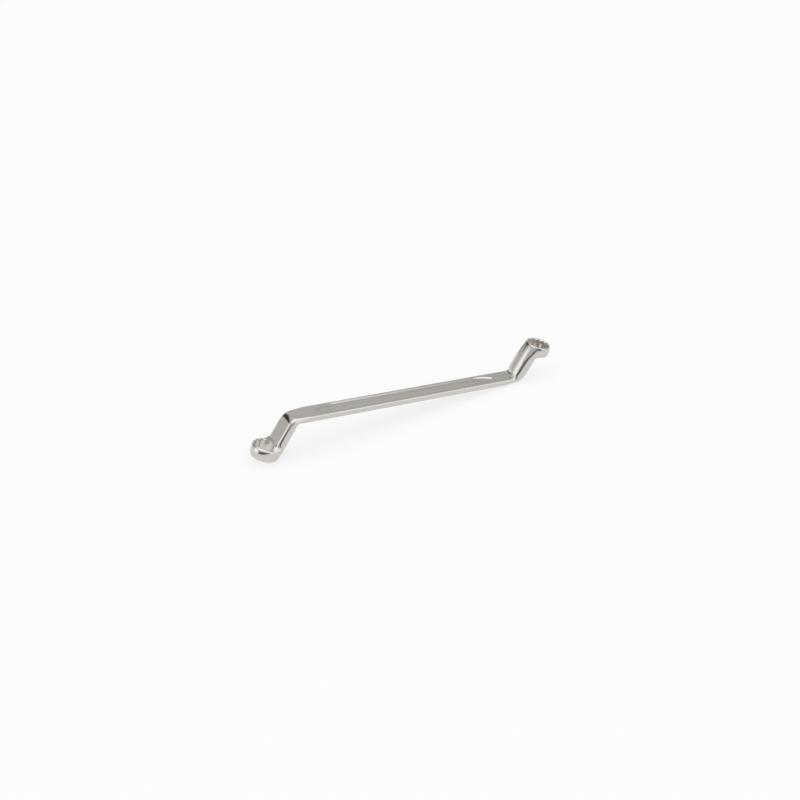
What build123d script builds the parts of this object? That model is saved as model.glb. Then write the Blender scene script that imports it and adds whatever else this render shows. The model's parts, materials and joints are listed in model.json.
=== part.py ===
from build123d import *
from math import cos, degrees, radians, tan
import os

# Double-ended offset ring spanner, 14 x 17 mm, a single drop forging in chrome vanadium steel.
# The forging is drawn in five regions that meet face to face: the shank, two cranked necks and
# two ring heads. It lies as it does on a bench, on the rim of the larger head and the underside
# of the far elbow. +Z is up, +X runs along the length towards the smaller head.

# Shank, from elbow to elbow
elbow_gap = 207.4
shank_thick = 5.3
shank_corner = 1.9
elbow_length = 12.0

# Recess forged into both faces of the shank
recess_depth = 0.8
recess_rim = 2.4
recess_end_gap = 21.0
recess_point = 13.0
recess_draft = 35.0

# Ring heads: both socket axes lean the same way from square to the shank
head_tilt = 10.8
barrel_bulge = 0.7
rim_round = 0.9
socket_lead = 0.15

# Necks, with the crowned face towards the back of the ring and the flat face over the socket.
# Each elbow is drawn in a few steps. The broach's way in is relieved straight, then tapered.
elbow_steps = 4
elbow_inner_radius = 2.5
elbow_outer_radius = 6.0
neck_corner = 2.3
neck_crown = 2.2
tail_crown = 0.5
web_corner = 1.6
tail_corner = 1.0
tail_lean = 2.0
relief_straight = 0.4
relief_length = 6.0
relief_taper = 48.0

# What differs between the two ends: across flats, head diameter and height, reach and drop of
# the head from the elbow, width of shank, neck and its foot, where the faces of shank and neck
# would meet, and how far from the socket's middle the foot starts and ends, and its back at the
# far face
sizes = {
    17: dict(flats=17.1, od=24.7, height=10.7, reach=20.8, drop=27.3,
             shank=17.6, neck=17.7, foot=20.0, inner=-2.75, outer=2.75, web=3.8, back=12.1, tail=10.6),
    14: dict(flats=14.1, od=21.2, height=9.7, reach=19.4, drop=24.35,
             shank=15.3, neck=16.6, foot=18.4, inner=-2.6, outer=2.6, web=2.6, back=12.2, tail=9.8),
}

half_gap = elbow_gap / 2
half_thick = shank_thick / 2
side = Vector(0, 1, 0)

# Each end is drawn in its own frame: p outward along the shank and q towards the ring head
end_frame = {
    17: Plane(origin=(-half_gap, 0, 0), x_dir=(-1, 0, 0), z_dir=(0, 0, -1)),
    14: Plane(origin=(half_gap, 0, 0), x_dir=(1, 0, 0), z_dir=(0, 0, 1)),
}
outward = Vector(1, 0, 0).rotate(Axis.Y, head_tilt)
socket_axis = Vector(0, 0, 1).rotate(Axis.Y, head_tilt)


def at_head(size, u, n):
    """Point u outward from the middle of a ring head and n along its socket, in its end's frame."""
    end = sizes[size]
    return Vector(end["reach"], 0, end["drop"]) + outward * u + socket_axis * n


def head_plane(size, n=0):
    """Plane square to the socket axis, n from the middle of the head."""
    frame = end_frame[size]
    centre = frame.from_local_coords(at_head(size, 0, n))
    normal = frame.from_local_coords(at_head(size, 0, n + 1)) - centre
    return Plane(origin=centre, x_dir=side, z_dir=normal)


def corner_radius(size):
    """Radius of the circle through the 12 corners of a socket."""
    return sizes[size]["flats"] / 2 / cos(radians(30))


def round_corner(corner, before, after, radius):
    """Points along the arc that rounds a corner of the side profile."""
    leg_in = (corner - before).normalized()
    leg_out = (after - corner).normalized()
    half_turn = radians(leg_in.get_angle(leg_out)) / 2
    start = corner - leg_in * radius * tan(half_turn)
    end = corner + leg_out * radius * tan(half_turn)
    centre = corner + (leg_out - leg_in).normalized() * radius / cos(half_turn)
    shares = [step / elbow_steps for step in range(elbow_steps + 1)]
    chords = [start * (1 - share) + end * share - centre for share in shares]
    return [centre + chord.normalized() * radius for chord in chords]


def section(size, inner, outer, inner_width, outer_width, crown, corner):
    """Section between two points of the side profile, with a crown raised on the inner face."""
    frame = end_frame[size]
    inner_point = frame.from_local_coords(inner)
    outer_point = frame.from_local_coords(outer)
    across = inner_point - outer_point
    half = across.length / 2
    plane = Plane(origin=(inner_point + outer_point) / 2, x_dir=side, z_dir=side.cross(across))
    inner_left = (-inner_width / 2, half)
    inner_right = (inner_width / 2, half)
    with BuildSketch(plane) as outline:
        with BuildLine():
            Polyline(inner_left, (-outer_width / 2, -half), (outer_width / 2, -half), inner_right)
            if crown:
                ThreePointArc(inner_right, (0, half + crown), inner_left)
            else:
                Line(inner_right, inner_left)
        make_face()
        fillet(outline.vertices(), corner)
    return outline.sketch


def neck_sections(size):
    """Sections from the shank round the elbow to the webs, and from there past the ring head."""
    end = sizes[size]
    half_height = end["height"] / 2
    width = end["neck"]
    foot = end["foot"]
    inner_start = Vector(-elbow_length, 0, half_thick)
    outer_start = Vector(-elbow_length, 0, -half_thick)
    inner_corner = Vector(end["inner"], 0, half_thick)
    outer_corner = Vector(end["outer"], 0, -half_thick)
    back = at_head(size, -end["back"], -half_height)
    web = at_head(size, -end["web"], -half_height)
    inner_arc = round_corner(inner_corner, inner_start, back, elbow_inner_radius)
    outer_arc = round_corner(outer_corner, outer_start, web, elbow_outer_radius)

    start = section(size, inner_start, outer_start, end["shank"], end["shank"], 0, shank_corner)
    elbow = []
    for step, (inner, outer) in enumerate(zip(inner_arc, outer_arc)):
        share = step / elbow_steps
        across = end["shank"] + (width - end["shank"]) * share
        corner = shank_corner + (neck_corner - shank_corner) * share
        elbow.append(section(size, inner, outer, across, across, neck_crown * share, corner))
    crank = [elbow[-1]]
    for along in (0.5, 1):
        inner = inner_arc[-1] + (back - inner_arc[-1]) * along
        outer = outer_arc[-1] + (web - outer_arc[-1]) * along
        spread = width + (foot - width) * along
        corner = neck_corner + (web_corner - neck_corner) * along
        crank.append(section(size, inner, outer, spread, spread, neck_crown, corner))
    tail_back = at_head(size, -end["tail"], half_height)
    tail_web = at_head(size, -end["web"] - tail_lean, half_height)
    tail = section(size, tail_back, tail_web, width * 0.75, width * 0.75, tail_crown, tail_corner)
    return [start, elbow[0]], elbow, crank, [crank[-1], tail]


def barrel_profile(size):
    """Half outline of a ring head without its socket, about the socket axis."""
    end = sizes[size]
    plane = head_plane(size)
    radius = end["od"] / 2
    rim = radius - barrel_bulge
    half_height = end["height"] / 2
    axial = Plane(origin=plane.origin, x_dir=side, z_dir=side.cross(plane.z_dir))
    with BuildSketch(axial) as outline:
        with BuildLine():
            Polyline((rim, -half_height), (0, -half_height), (0, half_height), (rim, half_height))
            ThreePointArc((rim, half_height), (radius, 0), (rim, -half_height))
        make_face()
        fillet(outline.vertices().filter_by(lambda v: abs(v.Y) > rim / 2), rim_round)
    return outline.sketch


pieces = {}

# Both ends of the forging, from the shank to the far rim of the ring
for size, end in sizes.items():
    middle = head_plane(size)
    half_height = end["height"] / 2
    lead = corner_radius(size) + socket_lead
    inside = end["flats"] / 2 - 0.5
    lead_in, elbow, crank, tail = neck_sections(size)

    # Neck: spreads into two webs beside the socket and is relieved where the broach passes
    with BuildPart() as neck:
        loft(lead_in, ruled=True)
        loft(elbow)
        loft(crank, ruled=True)
        with BuildSketch(head_plane(size, -half_height)):
            Circle(lead)
        extrude(amount=-relief_straight, mode=Mode.SUBTRACT)
        with BuildSketch(head_plane(size, -half_height - relief_straight)):
            Circle(lead)
        extrude(amount=-relief_length, taper=relief_taper, mode=Mode.SUBTRACT)
    pieces[f"neck_{size}"] = neck.part

    # Ring head: a barrel with a thicker back under the neck, broached with two hexagons 30
    # degrees apart and countersunk on both faces
    with BuildPart() as ring_head:
        add(barrel_profile(size))
        revolve(axis=Axis(middle.origin, middle.z_dir))
        loft(tail, ruled=True)
        with BuildSketch(middle):
            RegularPolygon(end["flats"] / 2, 6, major_radius=False)
            RegularPolygon(end["flats"] / 2, 6, major_radius=False, rotation=30)
        extrude(amount=end["height"], both=True, mode=Mode.SUBTRACT)
        for face in (1, -1):
            plane = Plane(origin=middle.origin, x_dir=middle.x_dir, z_dir=middle.z_dir * face)
            with BuildSketch(plane.offset(half_height)):
                Circle(lead)
            extrude(amount=inside - lead, taper=45, mode=Mode.SUBTRACT)
    pieces[f"ring_head_{size}"] = ring_head.part

# Shank: tapers in width from one elbow to the other, with the recess pressed into both faces
shank_ends = [
    section(17, Vector(-elbow_length, 0, half_thick), Vector(-elbow_length, 0, -half_thick),
            sizes[17]["shank"], sizes[17]["shank"], 0, shank_corner),
    section(17, Vector(elbow_length - elbow_gap, 0, half_thick),
            Vector(elbow_length - elbow_gap, 0, -half_thick),
            sizes[14]["shank"], sizes[14]["shank"], 0, shank_corner),
]
recess_half = half_gap - recess_end_gap
with BuildPart() as shank:
    loft(shank_ends)
    for face in (1, -1):
        plane = Plane(origin=(0, 0, face * half_thick), x_dir=(1, 0, 0), z_dir=(0, 0, face))
        with BuildSketch(plane):
            with BuildLine():
                wide = sizes[17]["shank"] / 2 - recess_rim
                slim = sizes[14]["shank"] / 2 - recess_rim
                Polyline((-recess_half + recess_point, wide), (recess_half - recess_point, slim))
                ThreePointArc((recess_half - recess_point, slim),
                              (recess_half - recess_point * 0.25, slim * 0.55), (recess_half, 0))
                ThreePointArc((recess_half, 0), (recess_half - recess_point * 0.25, -slim * 0.55),
                              (recess_half - recess_point, -slim))
                Line((recess_half - recess_point, -slim), (-recess_half + recess_point, -wide))
                ThreePointArc((-recess_half + recess_point, -wide),
                              (-recess_half + recess_point * 0.25, -wide * 0.55), (-recess_half, 0))
                ThreePointArc((-recess_half, 0), (-recess_half + recess_point * 0.25, wide * 0.55),
                              (-recess_half + recess_point, wide))
            make_face()
        extrude(amount=-recess_depth, taper=recess_draft, mode=Mode.SUBTRACT)
pieces["shank"] = shank.part

# Rest on a bench: lean the shank until the larger head and the far elbow are level, then put the
# lowest point at zero and the middle of the length at the origin
def lowest(names, lean):
    """Lowest point of some pieces with the shank leant down towards the smaller head."""
    turned = [pieces[name].rotate(Axis.Y, lean) for name in names]
    return min(piece.bounding_box().min.Z for piece in turned)


lean = 0
for attempt in range(6):
    gap = lowest(["neck_17", "ring_head_17"], lean) - lowest(["neck_14"], lean)
    lean -= degrees(gap / elbow_gap)
leant = [piece.rotate(Axis.Y, lean).bounding_box() for piece in pieces.values()]
middle_x = (min(box.min.X for box in leant) + max(box.max.X for box in leant)) / 2
rest = Location((-middle_x, 0, -min(box.min.Z for box in leant)), (0, lean, 0))
print("lean", round(lean, 4), "rest", [round(value, 4) for value in rest.position])

os.makedirs("parts", exist_ok=True)
for name, piece in pieces.items():
    placed = piece.moved(rest)
    placed.label = name
    export_step(placed, f"parts/{name}.step")
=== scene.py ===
import json
import math

import bmesh
import bpy
import numpy as np
from mathutils import Matrix

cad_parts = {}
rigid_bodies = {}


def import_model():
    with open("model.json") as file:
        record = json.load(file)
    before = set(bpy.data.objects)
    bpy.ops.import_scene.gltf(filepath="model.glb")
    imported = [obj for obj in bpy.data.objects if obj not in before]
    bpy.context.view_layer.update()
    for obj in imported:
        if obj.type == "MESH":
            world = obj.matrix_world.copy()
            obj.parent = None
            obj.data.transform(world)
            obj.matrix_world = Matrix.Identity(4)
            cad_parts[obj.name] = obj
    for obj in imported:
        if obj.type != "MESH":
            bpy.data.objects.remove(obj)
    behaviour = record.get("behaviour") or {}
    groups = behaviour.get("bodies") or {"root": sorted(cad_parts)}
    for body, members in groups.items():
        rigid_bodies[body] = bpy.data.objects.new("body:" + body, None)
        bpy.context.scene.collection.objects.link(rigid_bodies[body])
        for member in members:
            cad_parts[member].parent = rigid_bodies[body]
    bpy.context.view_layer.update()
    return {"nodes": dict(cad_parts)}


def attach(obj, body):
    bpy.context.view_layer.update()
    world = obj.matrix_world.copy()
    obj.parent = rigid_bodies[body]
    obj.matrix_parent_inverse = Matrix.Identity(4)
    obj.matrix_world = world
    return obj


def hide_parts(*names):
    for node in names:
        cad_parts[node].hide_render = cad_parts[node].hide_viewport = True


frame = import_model()

# Camera: a studio shot from the near left, looking down on the spanner with a long lens. The
# fit of the photograph gave it in the shank's own frame (x along the shank, z square to its
# recessed faces), so it is turned with the lean that the shank has on a bench. Sizes are in mm.
shank_lean = math.radians(8.3976)
shank_middle = np.array([1.8165, 0.0, 17.7084])
photo_size = 800
photo_focal = 2370.1
photo_centre = (404.81, 396.49)
view_azimuth, view_elevation, view_roll = (math.radians(a) for a in (30.68, 31.045, 6.608))
view_distance = 1954.8
view_target = np.array([-0.21, 0, 0])
sensor_width = 36


def bench(points):
    """Shank frame in mm to the bench in metres: turned about Y by the lean, then moved."""
    c, s = math.cos(shank_lean), math.sin(shank_lean)
    turn = np.array([[c, 0, s], [0, 1, 0], [-s, 0, c]])
    return (points @ turn.T + shank_middle) / 1000


forward = np.array([math.cos(view_elevation) * math.sin(view_azimuth),
                    math.cos(view_elevation) * math.cos(view_azimuth), -math.sin(view_elevation)])
level_right = np.array([math.cos(view_azimuth), -math.sin(view_azimuth), 0])
level_up = np.cross(level_right, forward)
right = math.cos(view_roll) * level_right + math.sin(view_roll) * level_up
up = math.cos(view_roll) * level_up - math.sin(view_roll) * level_right
camera_data = bpy.data.cameras.new("camera")
camera_data.sensor_width = sensor_width
camera_data.lens = photo_focal * sensor_width / photo_size
camera_data.shift_x = (photo_size / 2 - photo_centre[0]) / photo_size
camera_data.shift_y = (photo_centre[1] - photo_size / 2) / photo_size
camera_data.clip_start, camera_data.clip_end = 0.01, 20
camera = bpy.data.objects.new("camera", camera_data)
bpy.context.scene.collection.objects.link(camera)
eye = view_target - forward * view_distance
seat = bench(eye)
axes = [(bench(eye + axis) - seat) * 1000 for axis in (right, up, -forward)]
pose = np.eye(4)
pose[:3, :3], pose[:3, 3] = np.array(axes).T, seat
camera.matrix_world = Matrix(pose.tolist())
bpy.context.scene.camera = camera

# Forging: one drop forging in chrome vanadium steel, from the tip of the 17 mm ring through
# neck, elbow, shank, elbow and neck to the tip of the 14 mm ring, with the flash ground off and
# every edge rounded by the dies and the polishing mop. Sizes are in mm.
elbow_gap = 207.4
shank_thick = 5.3
shank_corner = 1.4
head_tilt = math.radians(10.8)
barrel_bulge = 1.0
rim_round = 0.9
near_rim_round = 1.7
elbow_span = 6
elbow_inner_radius = 1.6
elbow_outer_radius = 4.5
elbow_corner = 0.9
elbow_corner_span = (2, 9)
elbow_dip = 1.3
elbow_dip_span = 9
neck_corner = 2.6
neck_crown = 2.2
crown_fade = (0.7, 1.5)
web_corner = 4.5
heel_round = 5.0
heel_corner = 5.6
heel_blend = 3.0
heel_opening = (0.3, 4)
flare_least = 0.6
flare_side = (3.5, 8.5)
flare_rise = (-0.6, 0.1)
clear_of_all = 300
heads = {
    17: dict(flats=17.1, od=24.7, height=10.7, reach=20.8, drop=27.3, shank=17.6, neck=17.7,
             foot=20.0, inner=-2.75, outer=2.75, web=3.8, back=12.1, flare=5.5, side=-1),
    14: dict(flats=14.1, od=21.2, height=9.7, reach=19.4, drop=24.35, shank=15.3, neck=16.6,
             foot=18.4, inner=-2.6, outer=2.6, web=2.6, back=12.2, flare=3.0, side=1),
}
half_gap = elbow_gap / 2
half_thick = shank_thick / 2
u_axis = np.array([math.cos(head_tilt), -math.sin(head_tilt)])
n_axis = np.array([math.sin(head_tilt), math.cos(head_tilt)])


def unit(vector):
    """The vector divided by its length."""
    return vector / np.linalg.norm(vector)


def side_plan(end):
    """Points and lines of one end's side view: p outward along the shank, q towards the ring.
    The neck's axis runs from the middle of the elbow to the middle of its foot on the ring."""
    centre = np.array([end["reach"], end["drop"]])
    half = end["height"] / 2
    inner, outer = np.array([end["inner"], half_thick]), np.array([end["outer"], -half_thick])
    back = centre - u_axis * end["back"] - n_axis * half
    web = centre - u_axis * end["web"] - n_axis * half
    start, foot = (inner + outer) / 2, (back + web) / 2
    return dict(centre=centre, radius=end["od"] / 2, half=half, inner=inner, outer=outer, back=back,
                web=web, start=start, axis=unit(foot - start), length=np.linalg.norm(foot - start))


plans = {size: side_plan(end) for size, end in heads.items()}


def line_distance(p, q, first, last):
    """Signed distance from the line first-last: cross product with its unit direction."""
    way = unit(last - first)
    return way[0] * (q - first[1]) - way[1] * (p - first[0])


def filleted(a, b, radius):
    """Union of two distances: the lesser, with a circle of that radius in the corner."""
    hollow = np.hypot(np.maximum(radius - a, 0), np.maximum(radius - b, 0))
    return np.maximum(radius, np.minimum(a, b)) - hollow


def rounded(a, b, radius):
    """Overlap of two distances: the greater, with a circle of that radius on the edge."""
    bulge = np.hypot(np.maximum(radius + a, 0), np.maximum(radius + b, 0))
    return np.minimum(-radius, np.maximum(a, b)) + bulge


def ease(value, low, high):
    """Smooth step: 3t^2 - 2t^3 of the share of the way from low to high."""
    t = np.clip((value - low) / (high - low), 0, 1)
    return t * t * (3 - 2 * t)


def forging_distance(size, p, q, y):
    """Distance to the forging, below zero inside it. The bar is the overlap of its inner side
    (crowned along the neck), its outer side and its flanks. The barrel bulges as the square of
    the height. A fillet joins the two, wider at the sides, and the ring's far face cuts both."""
    end, plan = heads[size], plans[size]
    inner_line = line_distance(p, q, plan["inner"], plan["back"])
    outer_line = -line_distance(p, q, plan["outer"], plan["web"])
    along = (p - plan["start"][0]) * plan["axis"][0] + (q - plan["start"][1]) * plan["axis"][1]
    turned = ease(along, -elbow_span, elbow_span)
    reach = np.clip(along / plan["length"], 0, 1)
    middle = (heads[17]["shank"] + heads[14]["shank"]) / 4
    bar = middle + (end["shank"] / 2 - middle) * np.clip((p + half_gap) / half_gap, 0, 1)
    neck = (end["neck"] + (end["foot"] - end["neck"]) * reach) / 2
    width = bar + (neck - bar) * turned
    u = (p - plan["centre"][0]) * u_axis[0] + (q - plan["centre"][1]) * u_axis[1]
    n = (p - plan["centre"][0]) * n_axis[0] + (q - plan["centre"][1]) * n_axis[1]
    down = (n + plan["half"]) / plan["half"] / 2
    across = np.clip(np.abs(y) / width, 0, 1.2) ** 2
    crown = neck_crown * turned * (1 - across) * (1 - ease(down, *crown_fade))
    inner = filleted(q - half_thick, inner_line - crown, elbow_inner_radius)
    dip = elbow_dip * across * (1 - ease(np.abs(along), 0, elbow_dip_span))
    outer = rounded(-q - half_thick + dip, outer_line, elbow_outer_radius)
    corner = shank_corner + (neck_corner - shank_corner) * turned
    solid = rounded(inner, np.abs(y) - width, corner + (heel_round - corner) * reach ** 2)
    bent = elbow_corner * (1 - ease(np.abs(along), *elbow_corner_span))
    solid = rounded(solid, outer, corner + (web_corner - corner) * reach ** 2 + bent)
    barrel = np.hypot(u, y) - plan["radius"]
    room = heel_corner * (1 - down) + clear_of_all * ease(-down, *heel_opening)
    solid = rounded(solid, barrel - room, heel_blend)
    wall = barrel + barrel_bulge * (n / plan["half"]) ** 2
    ring = rounded(wall, -n - plan["half"], near_rim_round)
    wide = ease(np.abs(y), *flare_side) * ease(-down, *flare_rise)
    flare = flare_least + (end["flare"] - flare_least) * wide
    return rounded(filleted(solid, ring, flare), n - plan["half"], rim_round)


def fillet_centre(corner, before, after, radius):
    """Centre of the circle that touches both legs of a corner."""
    leg_in, leg_out = unit(corner - before), unit(after - corner)
    half_turn = math.acos(leg_in @ leg_out) / 2
    return corner + unit(leg_out - leg_in) * radius / math.cos(half_turn)


pivot_gap = 2.0
shank_step, ring_step = 1.6, 0.5
elbow_sections, neck_sections, heel_sections, tip_sections = 28, 48, 30, 44


def sections(origin, across, book, half_y, half_across):
    """One row for each origin: origin, axis across the bar, turn of the fan and half sizes."""
    rows = np.empty((len(origin), 7))
    rows[:, 0:2], rows[:, 2:4] = origin, across
    rows[:, 4], rows[:, 5], rows[:, 6] = book, half_y, half_across
    return rows


def spine(size):
    """Section planes from mid shank to the ring's tip: square to the shank, fanned round the
    inside of the elbow, square to the neck, fanned round the heel until they hold the ring's
    axis, moved on to that axis, and last opened round it like the leaves of a book."""
    end, plan = heads[size], plans[size]
    centre, axis = plan["centre"], plan["axis"]
    neck_across = np.array([-axis[1], axis[0]])
    elbow_pivot = fillet_centre(plan["inner"], plan["inner"] - [1, 0], plan["back"],
                                elbow_inner_radius)
    heel_pivot = plan["web"] - unit(neck_across + n_axis) * pivot_gap
    touch = elbow_pivot - neck_across * elbow_inner_radius
    neck_half = abs(line_distance(*touch, plan["outer"], plan["web"])) / 2
    neck_y, foot_y = end["neck"] / 2, end["neck"] / 2 + 1

    last = elbow_pivot[0]
    p = np.concatenate([np.arange(-half_gap, last - 14, shank_step),
                        np.linspace(last - 13, last, 22)])[1:]
    shank = sections(np.column_stack([p, 0 * p]), (0, 1), 0, end["shank"] / 2, half_thick)

    share = np.linspace(0, 1, elbow_sections)[1:]
    turn = math.atan2(axis[1], axis[0]) * share
    across = np.column_stack([-np.sin(turn), np.cos(turn)])
    half = half_thick + (neck_half - half_thick) * share
    elbow = sections(elbow_pivot - across * (elbow_inner_radius + half)[:, None], across, 0,
                     neck_y, half)

    share = np.linspace(0, 1, neck_sections)[1:]
    start = elbow_pivot - neck_across * (elbow_inner_radius + neck_half)
    stop = heel_pivot + neck_across * (neck_half + pivot_gap)
    neck = sections(start + (stop - start) * share[:, None], neck_across, 0,
                    neck_y + (foot_y - neck_y) * share, neck_half)

    share = np.linspace(0, 1, heel_sections)[1:]
    ring_turn = math.atan2(n_axis[1], n_axis[0])
    turn = ring_turn + (math.atan2(neck_across[1], neck_across[0]) - ring_turn) * (1 - share)
    across = np.column_stack([np.cos(turn), np.sin(turn)])
    depth = -(heel_pivot - centre) @ n_axis
    out = (neck_half + pivot_gap) * (1 - share) + depth * share
    heel = sections(heel_pivot + across * out[:, None], across, 0,
                    foot_y + (plan["radius"] - foot_y) * share,
                    neck_half + (plan["half"] - neck_half) * share)

    heel_u = (heel_pivot - centre) @ u_axis
    u = np.linspace(heel_u, 0, int(-heel_u / ring_step))[1:]
    ring = sections(centre + u_axis * u[:, None], n_axis, 0, plan["radius"], plan["half"])

    book = np.linspace(0, math.pi / 2, tip_sections)[1:]
    tip = sections(np.tile(centre, (len(book), 1)), n_axis, book, plan["radius"], plan["half"])
    return np.concatenate([shank, elbow, neck, heel, ring, tip])


face_columns, side_columns = 46, 26
core_radius, reach_radius, halvings = 0.3, 17.0, 34


def crowded(count):
    """Steps from -1 to 1 that crowd at both ends: sine of 0.9 of a quarter turn, scaled to 1."""
    share = np.linspace(-1, 1, count + 1)[:-1]
    return np.sin(share * 0.45 * math.pi) / math.sin(0.45 * math.pi)


face, flank = crowded(face_columns), crowded(side_columns)
lap_y = np.concatenate([face, np.ones(side_columns), -face, -np.ones(side_columns)])
lap_across = np.concatenate([np.ones(face_columns), -flank, -np.ones(face_columns), flank])


def skin_rows(size):
    """Skin of one end on a grid of section and ray: along each ray from the section's origin,
    the radius where the distance to the forging is zero, found by halving."""
    rows = spine(size)[:, None, :]
    side = heads[size]["side"]
    way_y, way_across = lap_y * rows[..., 5], lap_across * rows[..., 6] * side
    length = np.hypot(way_y, way_across)
    way_y, way_across = way_y / length, way_across / length
    book = rows[..., 4]
    way_out = np.abs(way_y) * np.sin(book)
    way_y = way_y * np.cos(book)
    way_p = way_across * rows[..., 2] + way_out * u_axis[0]
    way_q = way_across * rows[..., 3] + way_out * u_axis[1]
    low, high = np.full(way_p.shape, core_radius), np.full(way_p.shape, reach_radius)
    for halving in range(halvings):
        middle = (low + high) / 2
        inside = forging_distance(size, rows[..., 0] + way_p * middle,
                                  rows[..., 1] + way_q * middle, way_y * middle) < 0
        low, high = np.where(inside, middle, low), np.where(inside, high, middle)
    p, q, y = rows[..., 0] + way_p * low, rows[..., 1] + way_q * low, way_y * low
    return np.stack([side * (half_gap + p), y, side * q], axis=-1)


def grid_mesh(name, rows):
    """Mesh from a grid of points, quads between neighbours, closed along each row."""
    count, lap = rows.shape[:2]
    step = np.arange(lap)
    follow = (step + 1) % lap
    base = np.arange(count - 1)[:, None] * lap
    quads = np.stack([base + step, base + follow, base + lap + follow, base + lap + step], axis=-1)
    mesh = bpy.data.meshes.new(name)
    mesh.from_pydata(rows.reshape(-1, 3).tolist(), [], quads.reshape(-1, 4).tolist())
    return mesh


def tidy_mesh(mesh, gap=1e-4):
    """Merges the points that meet at seams and poles and turns every face outwards."""
    work = bmesh.new()
    work.from_mesh(mesh)
    bmesh.ops.remove_doubles(work, verts=work.verts, dist=gap)
    bmesh.ops.dissolve_degenerate(work, edges=work.edges, dist=gap / 2)
    bmesh.ops.recalc_face_normals(work, faces=work.faces)
    work.to_mesh(mesh)
    work.free()


def link(name, mesh):
    """A scene object for a mesh, at the origin."""
    piece = bpy.data.objects.new(name, mesh)
    bpy.context.scene.collection.objects.link(piece)
    return piece


skin = grid_mesh("forged_body", np.concatenate([skin_rows(17)[::-1], skin_rows(14)]))
tidy_mesh(skin)
body = link("forged_body", skin)

# Sockets: two hexagons broached 30 degrees apart make the 12 points. Each socket is countersunk
# at both faces, and the broach's way in relieves the foot of the neck with a round scoop.
socket_lead = 0.15
relief_straight = 0.4
relief_length = 6.0
relief_taper = math.tan(math.radians(48))
star_step = 2.5
lead_steps = 12
broach_overrun = 3
cut_clearance = 0.1
tools = bpy.data.collections.new("broaches_and_dies")
bpy.context.scene.collection.children.link(tools)


def socket_cutter(size):
    """Radius of the socket on a grid of level and angle: the greater of the two hexagons and of
    the countersink cones, with the scoop's cone below the ring and a point on each end."""
    end, plan = heads[size], plans[size]
    half, flat = plan["half"], end["flats"] / 2
    turn = np.radians(np.arange(0, 360, star_step))
    sixth = math.pi / 3
    star = np.maximum(*(flat / np.cos((turn + shift) % sixth - sixth / 2)
                        for shift in (0, sixth / 2)))
    lead = flat / math.cos(sixth / 2) + socket_lead
    depth = lead - flat + cut_clearance
    scoop = np.array([relief_straight + relief_length, relief_straight])
    levels = np.concatenate([-half - scoop, -half + np.linspace(0, depth, lead_steps),
                             half - np.linspace(depth, 0, lead_steps), [half + broach_overrun]])
    cone = lead - np.clip(np.minimum(half + levels, half - levels), 0, None)
    cone[0] -= relief_length * relief_taper
    star = np.where(levels[:, None] < -half - cut_clearance, 0, star)
    radius = np.maximum(star, cone[:, None])
    point = np.zeros_like(radius[:1])
    radius = np.concatenate([point, radius, point])
    levels = np.concatenate([levels[:1], levels, levels[-1:]])[:, None]
    u, y = radius * np.cos(turn), radius * np.sin(turn)
    p = plan["centre"][0] + u * u_axis[0] + levels * n_axis[0]
    q = plan["centre"][1] + u * u_axis[1] + levels * n_axis[1]
    return np.stack([end["side"] * (half_gap + p), y, end["side"] * q], axis=-1)


def add_tool(name, grid):
    """A closed shell that is cut out of the forging with the others."""
    mesh = grid_mesh(name, grid)
    tidy_mesh(mesh)
    tools.objects.link(bpy.data.objects.new(name, mesh))


for size in heads:
    add_tool(f"socket_{size}", socket_cutter(size))

# Recess: a shallow boat-shaped panel that the dies press into both faces of the shank. Its
# walls are drafted, and round over at the top and at the floor.
recess_depth = 0.8
recess_rim = 2.3
recess_wall = 1.5
recess_end_gap = 20.5
recess_point = 20.0
recess_mouth = [[-0.5, 0.85], [-0.15, 0.05]]
wall_steps, nose_steps = 13, 25
bow_along, bow_across = 0.25, 0.55
nose_draw = 1.5
cap_length = 0.97


def boat_end(end, inset):
    """Half outline at one end: the arc through flank, bow and nose, and its mirror image."""
    flank = end["shank"] / 2 - recess_rim - inset
    nose = np.array([half_gap - recess_end_gap - inset * nose_draw, 0.0])
    first = np.array([half_gap - recess_end_gap - recess_point, flank])
    bow = np.array([nose[0] - recess_point * bow_along, flank * bow_across])
    squares = np.array([first @ first, bow @ bow, nose @ nose])
    centre = np.linalg.solve(2 * np.array([first - bow, bow - nose]), squares[:2] - squares[1:])
    radius = np.linalg.norm(nose - centre)
    angles = [math.atan2(*(point - centre)[::-1]) for point in (first, nose)]
    sweep = np.linspace(*angles, nose_steps)
    arc = centre + radius * np.column_stack([np.cos(sweep), np.sin(sweep)])
    return np.concatenate([arc, (arc * [1, -1])[::-1][1:]]) * end["side"]


def recess_cutter(face):
    """Grid of inset and outline: the boat drawn in with depth along a smooth S-shaped wall."""
    share = np.linspace(0, 1, wall_steps)
    wall = np.column_stack([share * recess_wall, -recess_depth * ease(share, 0, 1)])
    rows = []
    for inset, level in np.concatenate([recess_mouth, wall[1:]]):
        loop = np.concatenate([boat_end(heads[size], inset) for size in (14, 17)])
        rows.append(np.column_stack([loop, np.full(len(loop), (half_thick + level) * face)]))
    rows = np.array(rows)
    caps = rows[[0, -1]] * [cap_length, 0, 1]
    return np.concatenate([caps[:1], rows, caps[1:]])


for face in (1, -1):
    add_tool(f"recess_{face}", recess_cutter(face))

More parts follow.
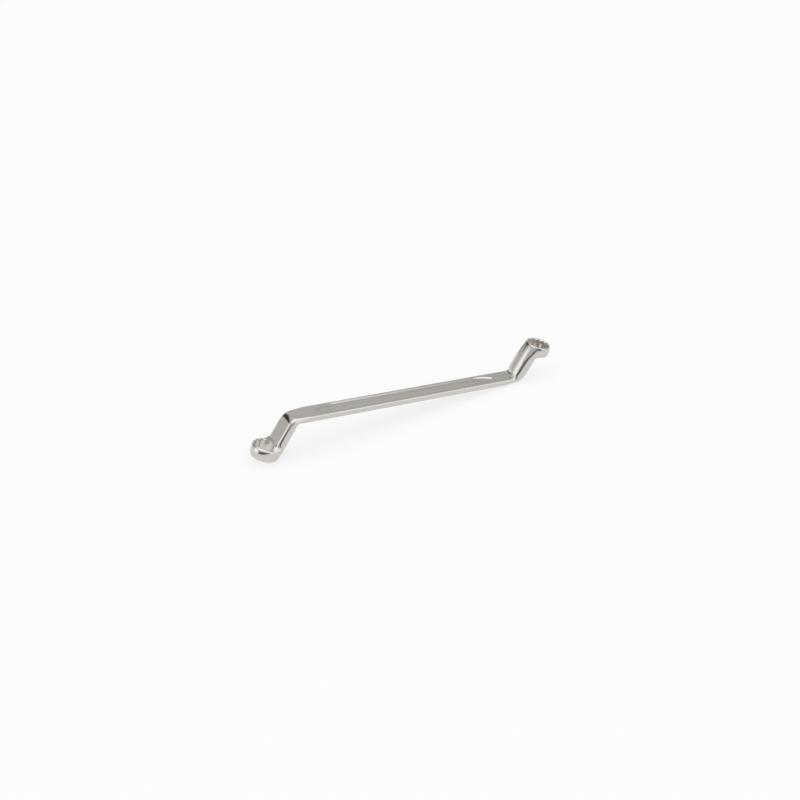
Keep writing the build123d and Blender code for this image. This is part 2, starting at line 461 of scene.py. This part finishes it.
# Finished forging: the sockets and recesses are cut out of the skin in one go, and the whole
# is then laid on the bench. It is one solid piece of steel, so it stands for all five nodes.
merge_gap = 1e-3
sharp_edge = math.radians(32)
cut = body.modifiers.new("cut", "BOOLEAN")
cut.operation, cut.solver = "DIFFERENCE", "EXACT"
cut.operand_type, cut.collection = "COLLECTION", tools
evaluated = body.evaluated_get(bpy.context.evaluated_depsgraph_get())
shaped = bpy.data.meshes.new_from_object(evaluated)
body.modifiers.clear()
body.data = shaped
for tool in list(tools.objects):
    bpy.data.objects.remove(tool)
bpy.data.collections.remove(tools)
tidy_mesh(shaped, merge_gap)
place = np.eye(4)
place[:3, 3] = bench(np.zeros(3))
place[:3, :3] = (bench(np.eye(3)) - place[:3, 3]).T
shaped.transform(Matrix(place.tolist()))
shaped.shade_smooth()
shaped.set_sharp_from_angle(angle=sharp_edge)
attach(body, "root")
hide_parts(*frame["nodes"])

# Satin chrome plate over the polished forging: bright, a little warm, with soft reflections. The
# mop's marks, really some 0.05 mm wide, are drawn 0.9 mm wide so that they show. The dies leave
# waves some 9 mm long that bend the reflections and vary the gloss. Sizes are in metres.
plate_colour = "#CDC9C5"
plate_gloss = (0.12, 0.19)
grain_size, grain_height = 0.0009, 0.000004
wave_size, wave_height = 0.009, 0.00005


def linear(hex_colour):
    """sRGB hex colour turned to linear: below 0.04045 divided by 12.92, above it a 2.4 power."""
    srgb = np.array([int(hex_colour[i:i + 2], 16) for i in (1, 3, 5)]) / 255
    value = np.where(srgb <= 0.04045, srgb / 12.92, ((srgb + 0.055) / 1.055) ** 2.4)
    return (*value.tolist(), 1.0)


def add_node(tree, kind, settings=None, links=None):
    """One shader node with its settings and input values or links, keyed by socket."""
    node = tree.nodes.new(kind)
    for name, value in (settings or {}).items():
        setattr(node, name, value)
    for socket, value in (links or {}).items():
        if isinstance(value, bpy.types.NodeSocket):
            tree.links.new(value, node.inputs[socket])
        else:
            node.inputs[socket].default_value = value
    return node


chrome = bpy.data.materials.new("satin_chrome_plate")
chrome.use_nodes = True
tree = chrome.node_tree
tree.nodes.clear()
on_piece = add_node(tree, "ShaderNodeTexCoord").outputs["Object"]
grain = add_node(tree, "ShaderNodeTexNoise", None, {
    "Vector": on_piece, "Scale": 1 / grain_size, "Detail": 3.0})
waves = add_node(tree, "ShaderNodeTexNoise", None, {
    "Vector": on_piece, "Scale": 1 / wave_size, "Detail": 1.0})
gloss = add_node(tree, "ShaderNodeMapRange", None, {
    "Value": waves.outputs[0], "From Min": 0.3, "From Max": 0.7,
    "To Min": plate_gloss[0], "To Max": plate_gloss[1]})
forged = add_node(tree, "ShaderNodeBump", None, {
    "Height": waves.outputs[0], "Distance": wave_height})
polished = add_node(tree, "ShaderNodeBump", None, {
    "Height": grain.outputs[0], "Distance": grain_height, "Normal": forged.outputs[0]})
shader = add_node(tree, "ShaderNodeBsdfPrincipled", None, {
    "Base Color": linear(plate_colour), "Metallic": 1.0, "Roughness": gloss.outputs[0],
    "Normal": polished.outputs[0]})
add_node(tree, "ShaderNodeOutputMaterial", None, {"Surface": shader.outputs["BSDF"]})
body.data.materials.clear()
body.data.materials.append(chrome)

# Size numbers: the nominal sizes stand proud in the recess near their own end, on both faces, as
# the dies leave them, in the same steel and plate as the forging. Sizes are in mm.
number_size = 8.1
number_proud = 0.3
number_sunk = 0.05
number_bevel = 0.06
number_offset = 68.0


def size_number(size, face):
    """A raised number on the recess floor: the font's outline, given a thickness and a bevel, is
    carried to its place as a mesh. The lower face's is the upper one's turned half round x."""
    curve = bpy.data.curves.new(f"number_{size}", "FONT")
    curve.body, curve.size = str(size), number_size
    curve.align_x, curve.align_y = "CENTER", "CENTER"
    curve.extrude, curve.bevel_depth, curve.bevel_resolution = number_proud / 2, number_bevel, 2
    text = link("number", curve)
    evaluated = text.evaluated_get(bpy.context.evaluated_depsgraph_get())
    mesh = bpy.data.meshes.new_from_object(evaluated)
    bpy.data.objects.remove(text)
    points = np.empty(len(mesh.vertices) * 3)
    mesh.vertices.foreach_get("co", points)
    middle = half_thick - recess_depth + number_proud / 2 - number_sunk
    points = points.reshape(-1, 3) * [1, face, face]
    points += [number_offset * heads[size]["side"], 0, middle * face]
    mesh.vertices.foreach_set("co", bench(points).ravel())
    tidy_mesh(mesh, 1e-6)
    mesh.materials.clear()
    mesh.materials.append(chrome)
    number = link(f"number_{size}_{'upper' if face == 1 else 'lower'}", mesh)
    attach(number, "root")


for size in heads:
    for face in (1, -1):
        size_number(size, face)

# Floor: a plain matt sweep of white studio paper, on which the spanner casts its shadow. The
# camera and the metal see most of it as white.
floor_size = 6
white_share = 0.74
bpy.ops.mesh.primitive_plane_add(size=floor_size, location=(0, 0, 0))
floor = bpy.context.object
floor.name = "studio_floor"
matt = bpy.data.materials.new("matt_white_paper")
matt.use_nodes = True
tree = matt.node_tree
tree.nodes.clear()
paper = add_node(tree, "ShaderNodeBsdfPrincipled", None, {
    "Base Color": linear("#FAFAFA"), "Roughness": 0.9})
glow = add_node(tree, "ShaderNodeEmission", None, {"Color": linear("#FFFFFF"), "Strength": 1.0})
path = add_node(tree, "ShaderNodeLightPath")
seen = add_node(tree, "ShaderNodeMath", {"operation": "ADD", "use_clamp": True}, {
    0: path.outputs["Is Camera Ray"], 1: path.outputs["Is Glossy Ray"]})
share = add_node(tree, "ShaderNodeMath", {"operation": "MULTIPLY"}, {
    0: seen.outputs[0], 1: white_share})
mix = add_node(tree, "ShaderNodeMixShader", None, {
    0: share.outputs[0], 1: paper.outputs[0], 2: glow.outputs[0]})
add_node(tree, "ShaderNodeOutputMaterial", None, {"Surface": mix.outputs[0]})
floor.data.materials.append(matt)

# Light: a grey room with softboxes to the front right, left and overhead, and dark gaps between
# them. Each panel is a smooth patch of the room: its level, its spans of azimuth (from the
# front, positive to the left) and elevation in degrees, and how soft its edge is.
room_level = 0.66
panels = {
    "grey right wall": (0.42, (-140, -105), (-20, 52), 10),
    "dark back right": (0.22, (-190, -122), (-30, 13), 6),
    "dark back left": (0.22, (160, 190), (-30, 13), 6),
    "black flag behind": (0.03, (139, 170), (17, 39), 4),
    "front right softbox": (1.25, (-60, -12), (-15, 60), 9),
    "left softbox": (1.42, (82, 121), (-10, 38), 8),
    "dark gap in front": (0.08, (-9, 74), (-30, 15), 5),
    "overhead softbox": (1.5, (-200, 200), (57, 120), 5),
}
world = bpy.data.worlds.new("studio_room")
bpy.context.scene.world = world
world.use_nodes = True
tree = world.node_tree
tree.nodes.clear()
way = add_node(tree, "ShaderNodeSeparateXYZ", None, {
    0: add_node(tree, "ShaderNodeTexCoord").outputs["Generated"]})
left_way, front_way = (add_node(tree, "ShaderNodeMath", {"operation": "MULTIPLY"}, {
    0: way.outputs[name], 1: -1.0}).outputs[0] for name in "XY")
azimuth = add_node(tree, "ShaderNodeMath", {"operation": "ARCTAN2"}, {0: left_way, 1: front_way})
elevation = add_node(tree, "ShaderNodeMath", {"operation": "ARCSINE"}, {0: way.outputs["Z"]})
room = room_level
for level, azimuths, elevations, soft in panels.values():
    inside = 1.0
    for angle, span in ((azimuth, azimuths), (elevation, elevations)):
        middle, half, blur = np.radians([sum(span) / 2, (span[1] - span[0]) / 2, soft])
        offset = add_node(tree, "ShaderNodeMath", {"operation": "SUBTRACT"}, {
            0: angle.outputs[0], 1: middle})
        off = add_node(tree, "ShaderNodeMath", {"operation": "ABSOLUTE"}, {0: offset.outputs[0]})
        edge = add_node(tree, "ShaderNodeMapRange", {"interpolation_type": "SMOOTHSTEP"}, {
            "Value": off.outputs[0], "From Min": half - blur, "From Max": half + blur,
            "To Min": 1.0, "To Max": 0.0})
        inside = add_node(tree, "ShaderNodeMath", {"operation": "MULTIPLY"}, {
            0: edge.outputs[0], 1: inside}).outputs[0]
    room = add_node(tree, "ShaderNodeMix", None, {0: inside, 2: room, 3: level}).outputs[0]
sky = add_node(tree, "ShaderNodeBackground", None, {"Color": linear("#FFFFFF"), "Strength": room})
plain = add_node(tree, "ShaderNodeBackground", None, {"Color": linear("#FFFFFF"), "Strength": 1.0})
path = add_node(tree, "ShaderNodeLightPath")
mix = add_node(tree, "ShaderNodeMixShader", None, {
    0: path.outputs["Is Camera Ray"], 1: sky.outputs[0], 2: plain.outputs[0]})
add_node(tree, "ShaderNodeOutputWorld", None, {"Surface": mix.outputs[0]})

bpy.context.scene.view_settings.view_transform = "Standard"
